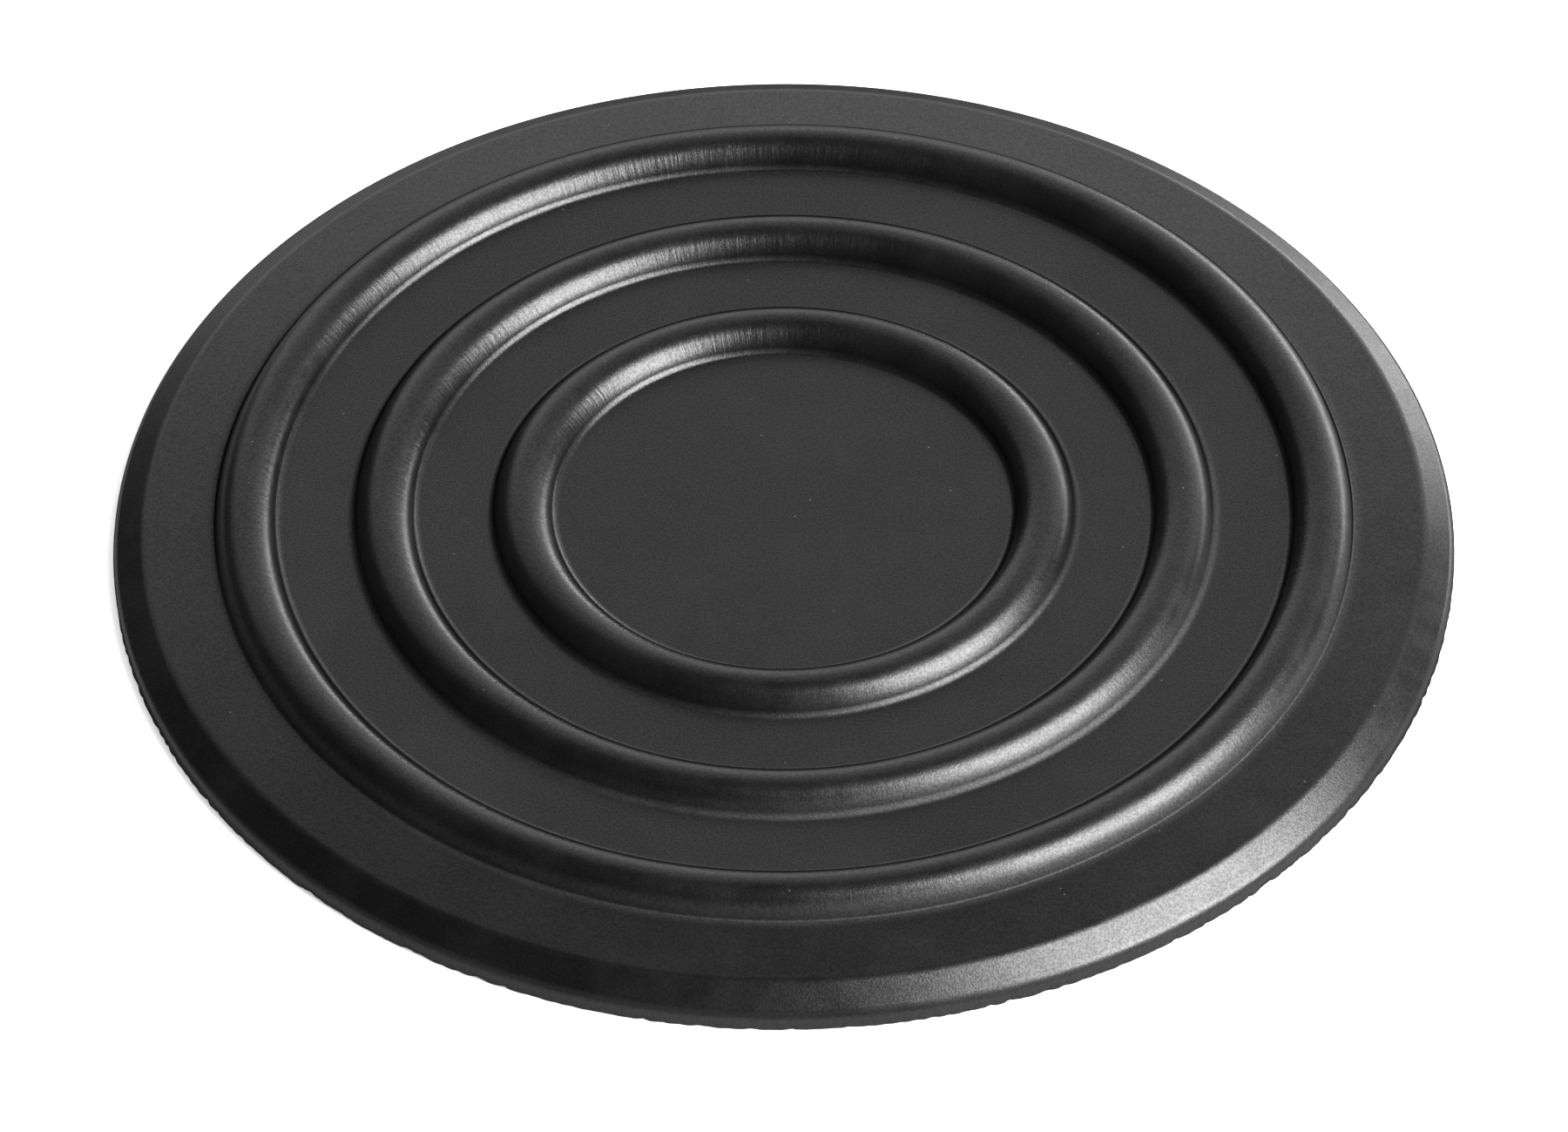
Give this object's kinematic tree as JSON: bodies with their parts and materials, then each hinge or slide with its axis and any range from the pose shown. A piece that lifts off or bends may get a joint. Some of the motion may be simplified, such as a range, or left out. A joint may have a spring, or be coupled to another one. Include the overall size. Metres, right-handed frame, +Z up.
{
  "type": "flat sink stopper",
  "caption": "Flat round rubber sink stopper: a one-piece disc with concentric raised ribs, a sloping skirt and a bevelled rim, laid over a drain to seal it.",
  "frame": {"origin": "centre of the flat underside, on the surface that the stopper lies on", "axes": "+Z up through the ribbed top face; X and Y lie in the underside and are interchangeable, because the disc is round"},
  "size_m": [0.127, 0.127, 0.0065],
  "materials": {
    "black_rubber": "matt moulded black rubber with a fine grain"
  },
  "bodies": {
    "root": {"stopper_disc": "black_rubber"}
  },
  "joints": []
}
